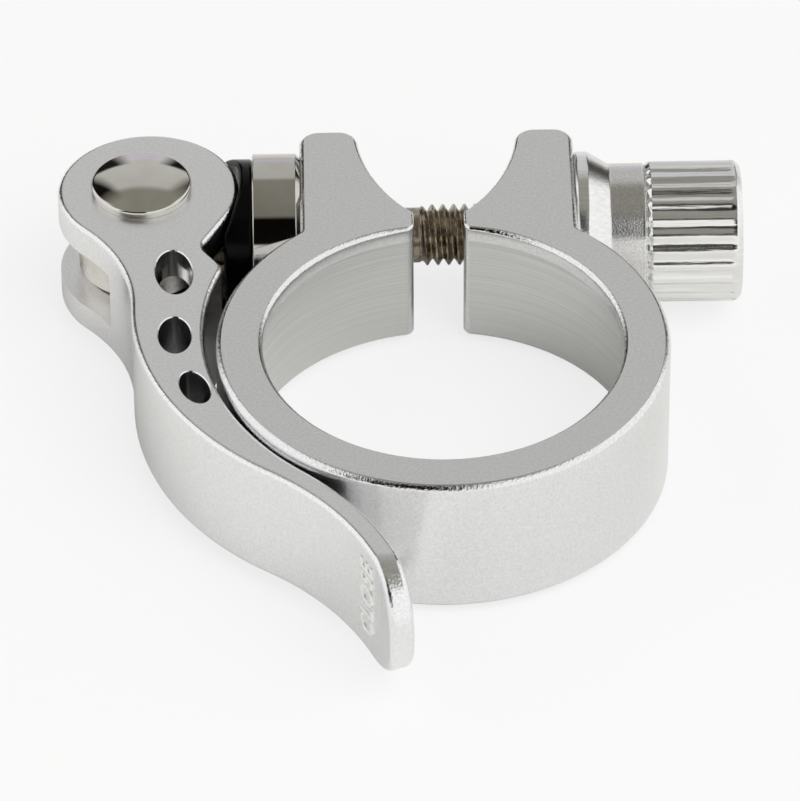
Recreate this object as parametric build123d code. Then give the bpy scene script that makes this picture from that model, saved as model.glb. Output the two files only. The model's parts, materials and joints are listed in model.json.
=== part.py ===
from build123d import *
import os
from math import cos, radians, sin, sqrt

# Quick-release seatpost clamp, in millimetres.
# The origin is on the bore's axis at the collar's mid-height, +Z is up the seat tube,
# +Y points to the split and its ears, and +X runs along the skewer to the thumb nut.

# Collar
bore_diameter = 35.0
lip_opening = 32.3
lip_thickness = 1.7
collar_wall = 2.85
collar_height = 14.0
collar_edge_round = 0.5
slot_gap = 4.6
slot_edge_round = 0.55
throat_wall = 1.05

# Ears that the skewer pulls together
ear_span = 25.3
ear_tip_width = 5.25
ear_tip_round = 1.8
ear_root_round = 0.4
ear_scallop_radius = 18.2
seat_clearance = 0.05
tip_from_skewer = 6.95

# Skewer: an eye on a rod
shank_diameter = 5.1
thread_diameter = 5.8
thread_length = 27.1
rod_hole_clearance = 0.25
rod_end_chamfer = 0.6
eye_diameter = 12.0
eye_rim_chamfer = 0.7
eye_side_clearance = 0.15

# Spacer ferrule and cam washer between the ear and the lever's head
spacer_diameter = 15.4
spacer_length = 4.4
spacer_chamfer = 0.35
washer_diameter = 14.5
washer_web = 1.1
washer_horn_length = 2.65
washer_edge_round = 0.3
saddle_edge_round = 0.4
saddle_relief = 1.0
cam_gap = 0.12

# Lever: a forked head that turns off-centre on its pin, and an arm round the collar
lever_height = 12.0
head_radius = 8.32
cam_offset = 0.64
cam_angle = -16.0
fork_slot_height = 6.0
fork_slot_radius = 9.6
fork_cutter_radius = 12.0
fork_cutter_shift = 5.0
arm_clearance = 0.1
arm_depth = 7.75
arm_centre_x = 0.1
arm_centre_y = 6.4
neck_radius = 15.9
hug_centre_x = 3.75
hug_centre_y = 2.85
hug_end_angle = 158.0
notch_reach = 10.2
notch_angle = -57.0
notch_round = 1.4
shoulder_round = 2.0
tail_outer_radius = 26.4
tail_outer_angle = 235.0
tail_inner_radius = 28.1
tail_inner_angle = 229.6
tail_end_angle = 11.5
tip_round = 5.4
lever_edge_round = 0.4

# Oval holes through the arm: size, depth of the middle from the ring side, place and lean in degrees
rear_hole_length = 6.3
rear_hole_width = 3.35
rear_hole_inset = 4.03
rear_hole_place = 168.4
rear_hole_lean = 5.0
middle_hole_length = 5.1
middle_hole_width = 2.95
middle_hole_inset = 2.65
middle_hole_place = 189.4
middle_hole_lean = 3.0
front_hole_length = 4.6
front_hole_width = 2.5
front_hole_inset = 1.95
front_hole_place = 206.9
front_hole_lean = 19.0
hole_rim_chamfer = 0.15

# Pivot pin: a domed rivet
pin_diameter = 6.0
pin_fit_clearance = 0.02
pin_running_clearance = 0.05
pin_head_diameter = 9.2
pin_rim_height = 0.55
pin_dome_height = 1.0
pin_rim_round = 0.42
peen_diameter = 7.4
peen_depth = 0.7

# Thumb nut
nut_flange_diameter = 15.0
nut_flange_thickness = 1.2
nut_flange_round = 0.35
nut_cone_length = 2.0
nut_neck_diameter = 12.9
nut_neck_length = 3.1
nut_groove_width = 0.4
nut_groove_depth = 0.25
nut_grip_diameter = 13.0
nut_grip_length = 8.65
nut_grip_chamfer = 0.45
nut_bore_chamfer = 0.6
thread_clearance = 0.05
rod_end_recess = 2.95
flute_count = 26
flute_radius = 0.4
flute_depth = 0.25

# Places that follow from the sizes above
bore_radius = bore_diameter / 2
collar_radius = bore_radius + collar_wall
ear_face = ear_span / 2
ear_root_y = sqrt(collar_radius**2 - ear_face**2)
skewer_y = ear_root_y + max(spacer_diameter, nut_flange_diameter) / 2 + seat_clearance
ear_reach = skewer_y + tip_from_skewer
rod_hole_diameter = thread_diameter + 2 * rod_hole_clearance
spacer_left = -(ear_face + spacer_length)
saddle_bottom = spacer_left - washer_web
head_x = saddle_bottom - cam_gap - head_radius
pin_x = head_x - cam_offset * cos(radians(cam_angle))
pin_centre = Vector(pin_x, skewer_y)
arm_centre = Vector(arm_centre_x, arm_centre_y)
arm_radius = collar_radius + arm_depth
hug_centre = Vector(hug_centre_x, hug_centre_y)
hug_radius = collar_radius + arm_clearance + hug_centre.length
grip_start = ear_face + nut_flange_thickness + nut_cone_length + nut_neck_length
nut_end = grip_start + nut_groove_width + nut_grip_length
rod_end = nut_end - rod_end_recess


def polar(centre, radius, angle):
    """The point at this radius and angle, in degrees from +X, round a centre."""
    return centre + Vector(radius * cos(radians(angle)), radius * sin(radians(angle)))


def outside_tangent(centre_a, radius_a, centre_b, radius_b, radius):
    """The centre of an arc that touches two circles from outside, on the left of the way from a to b."""
    reach_a = radius_a + radius
    reach_b = radius_b + radius
    way = centre_b - centre_a
    along = (way.length**2 + reach_a**2 - reach_b**2) / (2 * way.length)
    aside = sqrt(reach_a**2 - along**2)
    unit = way.normalized()
    return centre_a + unit * along + Vector(-unit.Y, unit.X) * aside


def touch_point(centre, radius, other):
    """Where a circle meets the tangent circle whose centre is given."""
    return centre + (other - centre).normalized() * radius


def round_arc(centre, start, end, long_way=False):
    """The arc round a centre from start to end, by the short way or the long one."""
    middle = (start - centre + end - centre).normalized() * (start - centre).length
    return ThreePointArc(start, centre - middle if long_way else centre + middle, end)


def ray_to_circle(origin, direction, centre, radius):
    """The far point where a ray from the origin meets a circle."""
    to_centre = centre - origin
    along = to_centre.dot(direction)
    return origin + direction * (along + sqrt(radius**2 - to_centre.length**2 + along**2))


def nearest_corners(sketch, *points):
    """The corners of a sketch that lie nearest to the points."""
    return [sketch.vertices().sort_by_distance(point)[0] for point in points]


def along_skewer(x):
    """A plane across the skewer's axis at x, facing +X."""
    return Plane(origin=(x, skewer_y, 0), x_dir=(0, 1, 0), z_dir=(1, 0, 0))


def rod_along_skewer(start, end, diameter):
    """A round bar on the skewer's axis between two places."""
    return extrude(along_skewer(start) * Circle(diameter / 2), amount=end - start)


def turned_on_skewer(*profile):
    """A turned piece from an outline of (place along X, radius) points."""
    outline = [(x, skewer_y + radius) for x, radius in profile]
    return revolve(make_face(Polyline(outline, close=True)), Axis((0, skewer_y, 0), (1, 0, 0)))


def collar_profile(inner_radius):
    """The collar's outline: ring and ears, less the valley between them, the slot and the bore."""
    half_gap = slot_gap / 2
    throat_y = sqrt(bore_radius**2 - half_gap**2) + throat_wall
    tip_x = ear_face - ear_tip_width
    valley = make_face(
        [
            Line((-half_gap, throat_y), (half_gap, throat_y)),
            RadiusArc((half_gap, throat_y), (tip_x, ear_reach), -ear_scallop_radius),
            Line((tip_x, ear_reach), (-tip_x, ear_reach)),
            RadiusArc((-tip_x, ear_reach), (-half_gap, throat_y), -ear_scallop_radius),
        ]
    )
    ears = Pos(0, ear_reach / 2) * Rectangle(ear_span, ear_reach)
    slot = Pos(0, ear_reach / 2) * Rectangle(slot_gap, ear_reach)
    profile = Circle(collar_radius) + ears - valley - slot - Circle(inner_radius)
    bore_y = sqrt(inner_radius**2 - half_gap**2)
    for side in (-1, 1):
        tips = nearest_corners(profile, (side * tip_x, ear_reach), (side * ear_face, ear_reach))
        profile = fillet(tips, ear_tip_round)
        profile = fillet(nearest_corners(profile, (side * ear_face, ear_root_y)), ear_root_round)
        lips = nearest_corners(profile, (side * half_gap, throat_y), (side * half_gap, bore_y))
        profile = fillet(lips, slot_edge_round)
    return profile


def make_collar():
    """The split collar: a plain bore below, a lip at the top that sits on the seat tube's end."""
    half = collar_height / 2
    lower = extrude(Pos(0, 0, -half) * collar_profile(bore_radius), collar_height - lip_thickness)
    lip = extrude(Pos(0, 0, half - lip_thickness) * collar_profile(lip_opening / 2), lip_thickness)
    collar = lower + lip
    flats = collar.faces().filter_by(Axis.Z).sort_by(Axis.Z)
    collar = fillet(flats[0].edges() + flats[-1].edges(), collar_edge_round)
    return collar - rod_along_skewer(-ear_face, ear_face, rod_hole_diameter)


def make_spacer():
    """The plated ferrule that stands between the ear and the cam washer."""
    radius = spacer_diameter / 2
    hole = rod_hole_diameter / 2
    return turned_on_skewer(
        (spacer_left, hole),
        (spacer_left, radius),
        (-ear_face - spacer_chamfer, radius),
        (-ear_face, radius - spacer_chamfer),
        (-ear_face, hole),
    )


def make_cam_washer():
    """The moulded washer with a round saddle that the lever's head turns in."""
    saddle_radius = head_radius + saddle_relief
    washer = rod_along_skewer(spacer_left - washer_horn_length, spacer_left, washer_diameter)
    washer = fillet(washer.edges().sort_by(Axis.X)[-1], washer_edge_round)
    saddle = Pos(saddle_bottom - saddle_radius, skewer_y) * Cylinder(saddle_radius, washer_diameter)
    washer -= saddle
    rims = washer.faces().filter_by(GeomType.CYLINDER).sort_by(Axis.X)[0].edges()
    washer = fillet(rims, saddle_edge_round)
    return washer - rod_along_skewer(spacer_left - washer_horn_length, spacer_left, rod_hole_diameter)


def make_skewer():
    """The eye rod: an eye round the pivot pin, a plain shank, and the threaded length."""
    eye_height = fork_slot_height - 2 * eye_side_clearance
    eye = Pos(pin_x, skewer_y) * Cylinder(eye_diameter / 2, eye_height)
    eye = chamfer(eye.edges().filter_by(GeomType.CIRCLE), eye_rim_chamfer)
    shank = rod_along_skewer(pin_x, rod_end - thread_length, shank_diameter)
    thread = rod_along_skewer(rod_end - thread_length, rod_end, thread_diameter)
    thread = chamfer(thread.edges().sort_by(Axis.X)[-1], rod_end_chamfer)
    pin_bore = Pos(pin_x, skewer_y) * Cylinder(pin_diameter / 2 + pin_running_clearance, eye_height)
    return eye + shank + thread - pin_bore


def lever_outline():
    """The lever from above, a chain of arcs that touch each other, and the middle of its tip."""
    head = polar(pin_centre, cam_offset, cam_angle)
    neck_centre = outside_tangent(arm_centre, arm_radius, head, head_radius, neck_radius)
    tail_outer = polar(arm_centre, arm_radius + tail_outer_radius, tail_outer_angle)
    tail_inner = polar(hug_centre, hug_radius + tail_inner_radius, tail_inner_angle)

    notch = polar(pin_centre, notch_reach, notch_angle)
    to_notch = notch - head
    tangent_length = sqrt(to_notch.length**2 - head_radius**2)
    square = Vector(-to_notch.Y, to_notch.X)
    leave_way = to_notch * head_radius + square * tangent_length
    leave_head = head + leave_way.normalized() * head_radius
    shoulder = polar(hug_centre, hug_radius, hug_end_angle)
    hug_to_tail = touch_point(hug_centre, hug_radius, tail_inner)
    tip_outer = polar(tail_outer, tail_outer_radius, tail_end_angle)
    tip_way = (tip_outer - tail_outer).normalized()
    tip_inner = ray_to_circle(tail_outer, tip_way, tail_inner, tail_inner_radius)
    tail_to_arm = touch_point(arm_centre, arm_radius, tail_outer)
    arm_to_neck = touch_point(arm_centre, arm_radius, neck_centre)
    neck_to_head = touch_point(head, head_radius, neck_centre)

    outline = make_face(
        [
            Line(leave_head, notch),
            Line(notch, shoulder),
            round_arc(hug_centre, shoulder, hug_to_tail),
            round_arc(tail_inner, hug_to_tail, tip_inner),
            Line(tip_inner, tip_outer),
            round_arc(tail_outer, tip_outer, tail_to_arm),
            round_arc(arm_centre, tail_to_arm, arm_to_neck),
            round_arc(neck_centre, arm_to_neck, neck_to_head),
            round_arc(head, neck_to_head, leave_head, long_way=True),
        ]
    )
    outline = fillet(nearest_corners(outline, notch), notch_round)
    outline = fillet(nearest_corners(outline, shoulder), shoulder_round)
    return outline, (tip_outer + tip_inner) * 0.5


def lever_holes():
    """The row of oval holes along the arm, each with a broken top and bottom edge."""
    half = lever_height / 2
    ovals = [
        (rear_hole_length, rear_hole_width, rear_hole_inset, rear_hole_place, rear_hole_lean),
        (middle_hole_length, middle_hole_width, middle_hole_inset, middle_hole_place, middle_hole_lean),
        (front_hole_length, front_hole_width, front_hole_inset, front_hole_place, front_hole_lean),
    ]
    holes = []
    for length, width, inset, place, lean in ovals:
        outward = polar(Vector(), 1, place)
        spot = ray_to_circle(arm_centre, outward, hug_centre, hug_radius) + outward * inset
        oval = Ellipse(width / 2, length / 2)
        mouth = Ellipse(width / 2 + hole_rim_chamfer, length / 2 + hole_rim_chamfer)
        hole = extrude(oval, amount=half, both=True)
        for side in (-1, 1):
            rim = Pos(0, 0, side * half) * mouth
            inner = Pos(0, 0, side * (half - hole_rim_chamfer)) * oval
            hole += loft([inner, rim])
        holes.append(Pos(spot.X, spot.Y) * Rot(0, 0, lean) * hole)
    return holes


def fork_slot():
    """The slot that the eye turns in: a round pocket and the cutter's run from the ring side."""
    pocket = Circle(fork_slot_radius) + Pos(fork_cutter_shift, 0) * Circle(fork_cutter_radius)
    return extrude(Pos(pin_x, skewer_y) * pocket, amount=fork_slot_height / 2, both=True)


def peened_shank(extra):
    """The pin's shank, flared at its lower end, with extra radius for the hole that it sits in."""
    half = lever_height / 2
    radius = pin_diameter / 2 + extra
    flare = peen_diameter / 2 + extra
    outline = [(0, half), (radius, half), (radius, peen_depth - half), (flare, -half), (0, -half)]
    side = make_face(Plane.XZ * Polyline(outline, close=True))
    return Pos(pin_x, skewer_y) * revolve(side, Axis.Z)


def make_lever():
    """The cam lever: the outline at full height, rounded, then forked, bored for the pin and lightened."""
    outline, tip = lever_outline()
    half = lever_height / 2
    lever = extrude(outline, amount=half, both=True)
    for level in (-half, half):
        end_edge = lever.edges().filter_by(GeomType.LINE).sort_by_distance(tip + Vector(0, 0, level))[0]
        lever = fillet(end_edge, tip_round)
    rims = lever.faces().filter_by(Axis.Z).edges() + lever.faces().sort_by_distance(tip)[0].edges()
    lever = fillet(rims, lever_edge_round) - fork_slot()
    return lever - peened_shank(pin_fit_clearance) - lever_holes()


def make_pin():
    """The domed pin: rim and dome on the lever's top, shank through the fork, peened below."""
    base = lever_height / 2
    radius = pin_head_diameter / 2
    rim = base + pin_rim_height
    top = rim + pin_dome_height
    dome_radius = (radius**2 + pin_dome_height**2) / (2 * pin_dome_height)
    side = make_face(
        [
            Line((0, base), (radius, base)),
            Line((radius, base), (radius, rim)),
            RadiusArc((radius, rim), (0, top), -dome_radius),
            Line((0, top), (0, base)),
        ]
    )
    side = fillet(nearest_corners(side, (radius, rim)), pin_rim_round)
    head = revolve(Plane.XZ * side, Axis.Z)
    return Pos(pin_x, skewer_y) * head + peened_shank(0)


def make_nut():
    """The thumb nut: flange, cone and neck turned in one with a fluted grip, tapped right through."""
    neck = nut_neck_diameter / 2
    grip = nut_grip_diameter / 2
    bore = thread_diameter / 2 + thread_clearance
    cone_start = ear_face + nut_flange_thickness
    neck_start = cone_start + nut_cone_length
    flute_start = grip_start + nut_groove_width
    nut = turned_on_skewer(
        (ear_face, bore),
        (ear_face, nut_flange_diameter / 2),
        (cone_start, nut_flange_diameter / 2),
        (neck_start, neck),
        (grip_start, neck),
        (grip_start + nut_groove_width / 2, neck - nut_groove_depth),
        (flute_start, grip),
        (nut_end - nut_grip_chamfer, grip),
        (nut_end, grip - nut_grip_chamfer),
        (nut_end, bore + nut_bore_chamfer),
        (nut_end - nut_bore_chamfer, bore),
    )
    flange_rims = nut.edges().filter_by(GeomType.CIRCLE).sort_by(SortBy.RADIUS)[-2:]
    nut = fillet(flange_rims, nut_flange_round)
    cutter = Pos(0, grip + flute_radius - flute_depth) * Circle(flute_radius)
    cutters = [Rot(0, 0, turn * 360 / flute_count) * cutter for turn in range(flute_count)]
    flutes = extrude(along_skewer(grip_start) * Sketch(children=cutters), amount=nut_end - grip_start)
    return nut - flutes


os.makedirs("parts", exist_ok=True)
nodes = {
    "clamp_collar": make_collar(),
    "spacer_ferrule": make_spacer(),
    "cam_washer": make_cam_washer(),
    "skewer_eye_rod": make_skewer(),
    "qr_lever": make_lever(),
    "pivot_pin": make_pin(),
    "thumb_nut": make_nut(),
}
for name, solid in nodes.items():
    export_step(solid, f"parts/{name}.step")
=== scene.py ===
import json
from math import cos, pi, radians, sin

import bmesh
import bpy
import numpy as np
from mathutils import Matrix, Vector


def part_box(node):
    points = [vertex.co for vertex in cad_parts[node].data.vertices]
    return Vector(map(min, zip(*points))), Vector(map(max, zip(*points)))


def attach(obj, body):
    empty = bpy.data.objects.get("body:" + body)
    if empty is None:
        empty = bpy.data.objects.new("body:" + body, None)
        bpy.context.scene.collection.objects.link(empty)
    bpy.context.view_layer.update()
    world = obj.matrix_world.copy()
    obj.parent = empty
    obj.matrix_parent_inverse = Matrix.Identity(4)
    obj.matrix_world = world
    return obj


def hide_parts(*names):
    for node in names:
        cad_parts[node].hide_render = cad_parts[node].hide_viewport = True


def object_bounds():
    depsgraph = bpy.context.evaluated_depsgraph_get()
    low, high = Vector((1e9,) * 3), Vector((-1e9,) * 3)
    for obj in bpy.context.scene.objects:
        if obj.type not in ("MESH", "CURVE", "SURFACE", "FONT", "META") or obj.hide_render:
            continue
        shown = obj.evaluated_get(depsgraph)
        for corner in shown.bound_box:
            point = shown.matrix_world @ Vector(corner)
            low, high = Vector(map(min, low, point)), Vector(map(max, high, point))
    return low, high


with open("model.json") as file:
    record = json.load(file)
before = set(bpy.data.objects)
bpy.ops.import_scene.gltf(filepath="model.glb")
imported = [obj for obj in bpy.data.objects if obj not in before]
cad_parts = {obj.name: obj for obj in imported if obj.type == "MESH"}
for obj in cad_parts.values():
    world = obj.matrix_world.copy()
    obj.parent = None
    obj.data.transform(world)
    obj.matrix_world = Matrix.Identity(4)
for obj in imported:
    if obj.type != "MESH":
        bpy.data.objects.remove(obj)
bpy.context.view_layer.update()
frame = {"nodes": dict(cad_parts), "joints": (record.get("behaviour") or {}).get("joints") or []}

MM = 0.001
TURN = 2 * pi
joints = {joint["name"]: joint for joint in frame["joints"]}
PIN_X, PIN_Y = (place / MM for place in joints["lever_swing"]["pos_m"][:2])

# Sizes and places repeated from the solids, in millimetres and degrees.
# The collar, and the rod's hole through its ears and the spacer.
COLLAR_HALF = 7.0
BORE = 17.5
LIP_BORE = 16.15
LIP_BOTTOM = 5.3
EAR_FACE = 12.65
ROD_HOLE = 3.15
# Where the nut's neck and grip start along the skewer.
NECK_START = 15.85
GRIP_START = 19.05
# The lever: the circle that hugs the ring, the arm's circle and the tail's, which touches the arm's.
LEVER_HALF = 6.0
HUG_CENTRE = np.array([3.75, 2.85])
RING_AND_CLEARANCE = 20.45
HUG_RADIUS = RING_AND_CLEARANCE + np.linalg.norm(HUG_CENTRE)
ARM_CENTRE = np.array([0.1, 6.4])
ARM_RADIUS = 28.1
TAIL_RADIUS = 26.4
TAIL_WAY = 235
TAIL_DIRECTION = np.array([cos(radians(TAIL_WAY)), sin(radians(TAIL_WAY))])
TAIL_CENTRE = ARM_CENTRE + (ARM_RADIUS + TAIL_RADIUS) * TAIL_DIRECTION
TIP_ANGLE = 11.5


def linear(code):
    """An sRGB hex colour as linear red, green and blue, with a full alpha."""
    value = np.array([int(code[place:place + 2], 16) for place in (1, 3, 5)]) / 255
    bent = np.where(value <= 0.04045, value / 12.92, ((value + 0.055) / 1.055) ** 2.4)
    return (*bent.tolist(), 1.0)


def add(tree, kind, inputs=(), stops=(), **settings):
    """Adds a node with its settings; each input takes a value, or the socket that feeds it.

    The inputs of a Mix node go by number: 0 its factor, 2 and 3 its floats, 6 and 7 its colours. The colour
    that it makes is output 2."""
    node = tree.nodes.new(kind)
    for key, value in settings.items():
        setattr(node, key, value)
    for key, value in dict(inputs).items():
        if isinstance(value, bpy.types.NodeSocket):
            tree.links.new(value, node.inputs[key])
        else:
            node.inputs[key].default_value = value
    for number, (place, code) in enumerate(stops):
        elements = node.color_ramp.elements
        element = elements[number] if number < 2 else elements.new(place)
        element.position = place
        element.color = linear(code)
    return node


def blank_material(name):
    """A new material with an empty node tree."""
    material = bpy.data.materials.new(name)
    material.use_nodes = True
    material.node_tree.nodes.clear()
    return material, material.node_tree


def finish_material(tree, inputs, height=None):
    """Closes a tree with one surface shader, its normal bent by a height in micrometres."""
    if height is not None:
        bump = add(tree, "ShaderNodeBump", {"Strength": 1.0, "Distance": 1e-6, "Height": height})
        inputs = {**inputs, "Normal": bump.outputs["Normal"]}
    shader = add(tree, "ShaderNodeBsdfPrincipled", inputs)
    add(tree, "ShaderNodeOutputMaterial", {"Surface": shader.outputs["BSDF"]})


def turned_bore(tree, place, colour, roughness, height):
    """Lays rings of tool marks over a finish, inside the bore and below its lip. The marks are real, but
    their colours run darker than the outer faces, and that darker tone is painted shade inside the ring.

    The marks are drawn 0.17 mm apart, coarser than real so that they show, and fade towards the lower end."""
    mark_height, mark_roughness, fade_level = 1.5, 0.28, -5.0
    flat = add(tree, "ShaderNodeVectorMath", {0: place, 1: (1, 1, 0)}, operation="MULTIPLY")
    radius = add(tree, "ShaderNodeVectorMath", {0: flat.outputs["Vector"]}, operation="LENGTH")
    within = add(
        tree,
        "ShaderNodeMapRange",
        {"Value": radius.outputs["Value"], "From Min": (BORE + 0.06) * MM, "From Max": (BORE + 0.02) * MM},
    )
    level = add(tree, "ShaderNodeSeparateXYZ", {"Vector": place}).outputs["Z"]
    below = add(
        tree,
        "ShaderNodeMapRange",
        {"Value": level, "From Min": LIP_BOTTOM * MM, "From Max": (LIP_BOTTOM - 0.1) * MM},
    )
    inside = add(
        tree,
        "ShaderNodeMath",
        {0: within.outputs["Result"], 1: below.outputs["Result"]},
        operation="MULTIPLY",
    ).outputs["Value"]
    squeeze = add(tree, "ShaderNodeMapping", {"Vector": place, "Scale": (1 / 16, 1 / 16, 9)})
    lines = add(
        tree,
        "ShaderNodeTexNoise",
        {"Vector": squeeze.outputs["Vector"], "Scale": 1 / (1.5 * MM), "Detail": 4.0},
    )
    strength = add(
        tree,
        "ShaderNodeMapRange",
        {"Value": level, "From Min": fade_level * MM, "From Max": LIP_BOTTOM * MM, "To Min": 0.35},
    )
    marks = add(
        tree,
        "ShaderNodeMix",
        {0: strength.outputs["Result"], 2: 0.5, 3: lines.outputs["Fac"]},
        data_type="FLOAT",
    ).outputs["Result"]
    ridges = add(tree, "ShaderNodeMath", {0: marks, 1: mark_height}, operation="MULTIPLY")
    # The mark colours sit darker than the outer faces' colours: real tool marks, laid in a painted shade for
    # the inside of the ring.
    streak = add(
        tree, "ShaderNodeValToRGB", {"Fac": marks}, stops=((0.3, "#D1D1CF"), (0.62, "#E4E4E3"))
    )
    colour = add(
        tree, "ShaderNodeMix", {0: inside, 6: colour, 7: streak.outputs["Color"]}, data_type="RGBA"
    ).outputs[2]
    roughness = add(
        tree, "ShaderNodeMix", {0: inside, 2: roughness, 3: mark_roughness}, data_type="FLOAT"
    ).outputs["Result"]
    height = add(
        tree, "ShaderNodeMix", {0: inside, 2: height, 3: ridges.outputs["Value"]}, data_type="FLOAT"
    ).outputs["Result"]
    return colour, roughness, height


def polished_aluminium(name, dark, light, grain_height, flat_roughness, bored=False):
    """Silver aluminium, tumbled: satin flats with a fine speckle, and edges rubbed to an uneven mirror.

    How level a face lies tells flats, walls and rubbed edges apart. The grain is drawn at 0.25 mm, about
    twice its real size, so that it shows, and it is deepest on the edges."""
    wall_roughness, edge_roughness, edge_height = 0.195, 0.1, 40.0
    material, tree = blank_material(name)
    place = add(tree, "ShaderNodeTexCoord").outputs["Object"]
    grain = add(
        tree, "ShaderNodeTexNoise", {"Vector": place, "Scale": 1 / (0.25 * MM), "Detail": 3.0}
    ).outputs["Fac"]
    colour = add(
        tree, "ShaderNodeValToRGB", {"Fac": grain}, stops=((0.3, dark), (0.7, light))
    ).outputs["Color"]
    flatness = add(tree, "ShaderNodeAttribute", attribute_name="flatness").outputs["Fac"]
    wall = add(
        tree,
        "ShaderNodeMapRange",
        {
            "Value": flatness,
            "From Min": 0.08,
            "From Max": 0.25,
            "To Min": wall_roughness,
            "To Max": edge_roughness,
        },
    )
    flat = add(
        tree,
        "ShaderNodeMapRange",
        {"Value": flatness, "From Min": 0.9, "From Max": 0.985, "To Max": flat_roughness - edge_roughness},
    )
    roughness = add(
        tree, "ShaderNodeMath", {0: wall.outputs["Result"], 1: flat.outputs["Result"]}, operation="ADD"
    ).outputs["Value"]
    relief = add(
        tree,
        "ShaderNodeMapRange",
        {
            "Value": roughness,
            "From Min": edge_roughness,
            "From Max": edge_roughness + 0.04,
            "To Min": grain_height + edge_height,
            "To Max": grain_height,
        },
    )
    centred = add(tree, "ShaderNodeMath", {0: grain, 1: 0.5}, operation="SUBTRACT")
    height = add(
        tree,
        "ShaderNodeMath",
        {0: centred.outputs["Value"], 1: relief.outputs["Result"]},
        operation="MULTIPLY",
    ).outputs["Value"]
    if bored:
        colour, roughness, height = turned_bore(tree, place, colour, roughness, height)
    finish_material(tree, {"Base Color": colour, "Metallic": 1.0, "Roughness": roughness}, height)
    return material


def frosted_aluminium(name):
    """Aluminium left as struck: fine frosting that spreads the light, so raised letters read pale.

    The frosting is drawn at 0.12 mm, coarser than real, so that it shows."""
    material, tree = blank_material(name)
    place = add(tree, "ShaderNodeTexCoord").outputs["Object"]
    frost = add(tree, "ShaderNodeTexNoise", {"Vector": place, "Scale": 1 / (0.12 * MM), "Detail": 2.0})
    colour = add(
        tree, "ShaderNodeValToRGB", {"Fac": frost.outputs["Fac"]}, stops=((0.3, "#F2F2F0"), (0.7, "#FAFAF8"))
    )
    roughness = add(
        tree,
        "ShaderNodeMapRange",
        {"Value": frost.outputs["Fac"], "From Min": 0.3, "From Max": 0.7, "To Min": 0.42, "To Max": 0.55},
    )
    finish_material(
        tree,
        {"Base Color": colour.outputs["Color"], "Metallic": 1.0, "Roughness": roughness.outputs["Result"]},
    )
    return material


def mirror_nickel(name, dark, light):
    """Nickel plate over turned steel: a warm mirror with faint smears from handling."""
    material, tree = blank_material(name)
    place = add(tree, "ShaderNodeTexCoord").outputs["Object"]
    smear = add(tree, "ShaderNodeTexNoise", {"Vector": place, "Scale": 1 / (3 * MM), "Detail": 3.0})
    roughness = add(
        tree,
        "ShaderNodeMapRange",
        {"Value": smear.outputs["Fac"], "From Min": 0.35, "From Max": 0.75, "To Min": 0.05, "To Max": 0.09},
    )
    colour = add(
        tree, "ShaderNodeValToRGB", {"Fac": smear.outputs["Fac"]}, stops=((0.3, dark), (0.7, light))
    )
    finish_material(
        tree,
        {"Base Color": colour.outputs["Color"], "Metallic": 1.0, "Roughness": roughness.outputs["Result"]},
    )
    return material


def satin_nickel(name):
    """Nickel plate over a cast nut: bright and satin, dull and grainy on the neck, streaky along the grip.

    The grit of 0.18 mm and the streaks of 0.3 mm are about twice their real size, so that they show."""
    grit_height, streak_height = 14.0, 45.0
    material, tree = blank_material(name)
    place = add(tree, "ShaderNodeTexCoord").outputs["Object"]
    along = add(tree, "ShaderNodeSeparateXYZ", {"Vector": place}).outputs["X"]
    on_grip = add(
        tree,
        "ShaderNodeMapRange",
        {"Value": along, "From Min": (GRIP_START - 0.25) * MM, "From Max": (GRIP_START + 0.15) * MM},
    ).outputs["Result"]
    past_cone = add(
        tree,
        "ShaderNodeMapRange",
        {"Value": along, "From Min": (NECK_START - 0.15) * MM, "From Max": (NECK_START + 0.25) * MM},
    ).outputs["Result"]
    on_neck = add(tree, "ShaderNodeMath", {0: past_cone, 1: on_grip}, operation="SUBTRACT").outputs["Value"]
    grit = add(
        tree, "ShaderNodeTexNoise", {"Vector": place, "Scale": 1 / (0.18 * MM), "Detail": 3.0}
    ).outputs["Fac"]
    drawn = add(tree, "ShaderNodeMapping", {"Vector": place, "Scale": (1 / 18, 1, 1)})
    streak = add(
        tree,
        "ShaderNodeTexNoise",
        {"Vector": drawn.outputs["Vector"], "Scale": 1 / (0.3 * MM), "Detail": 3.0},
    ).outputs["Fac"]
    coarse = add(tree, "ShaderNodeMath", {0: grit, 1: grit_height}, operation="MULTIPLY")
    fine = add(tree, "ShaderNodeMath", {0: streak, 1: streak_height}, operation="MULTIPLY")
    height = add(
        tree,
        "ShaderNodeMix",
        {0: on_grip, 2: coarse.outputs["Value"], 3: fine.outputs["Value"]},
        data_type="FLOAT",
    )
    roughness = add(tree, "ShaderNodeMapRange", {"Value": on_grip, "To Min": 0.22, "To Max": 0.17})
    bright = add(tree, "ShaderNodeValToRGB", {"Fac": streak}, stops=((0.3, "#E8E8E7"), (0.7, "#F4F4F3")))
    dull = add(tree, "ShaderNodeValToRGB", {"Fac": grit}, stops=((0.3, "#CECDCB"), (0.7, "#E4E3E1")))
    colour = add(
        tree,
        "ShaderNodeMix",
        {0: on_neck, 6: bright.outputs["Color"], 7: dull.outputs["Color"]},
        data_type="RGBA",
    )
    finish_material(
        tree,
        {"Base Color": colour.outputs[2], "Metallic": 1.0, "Roughness": roughness.outputs["Result"]},
        height.outputs["Result"],
    )
    return material


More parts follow.
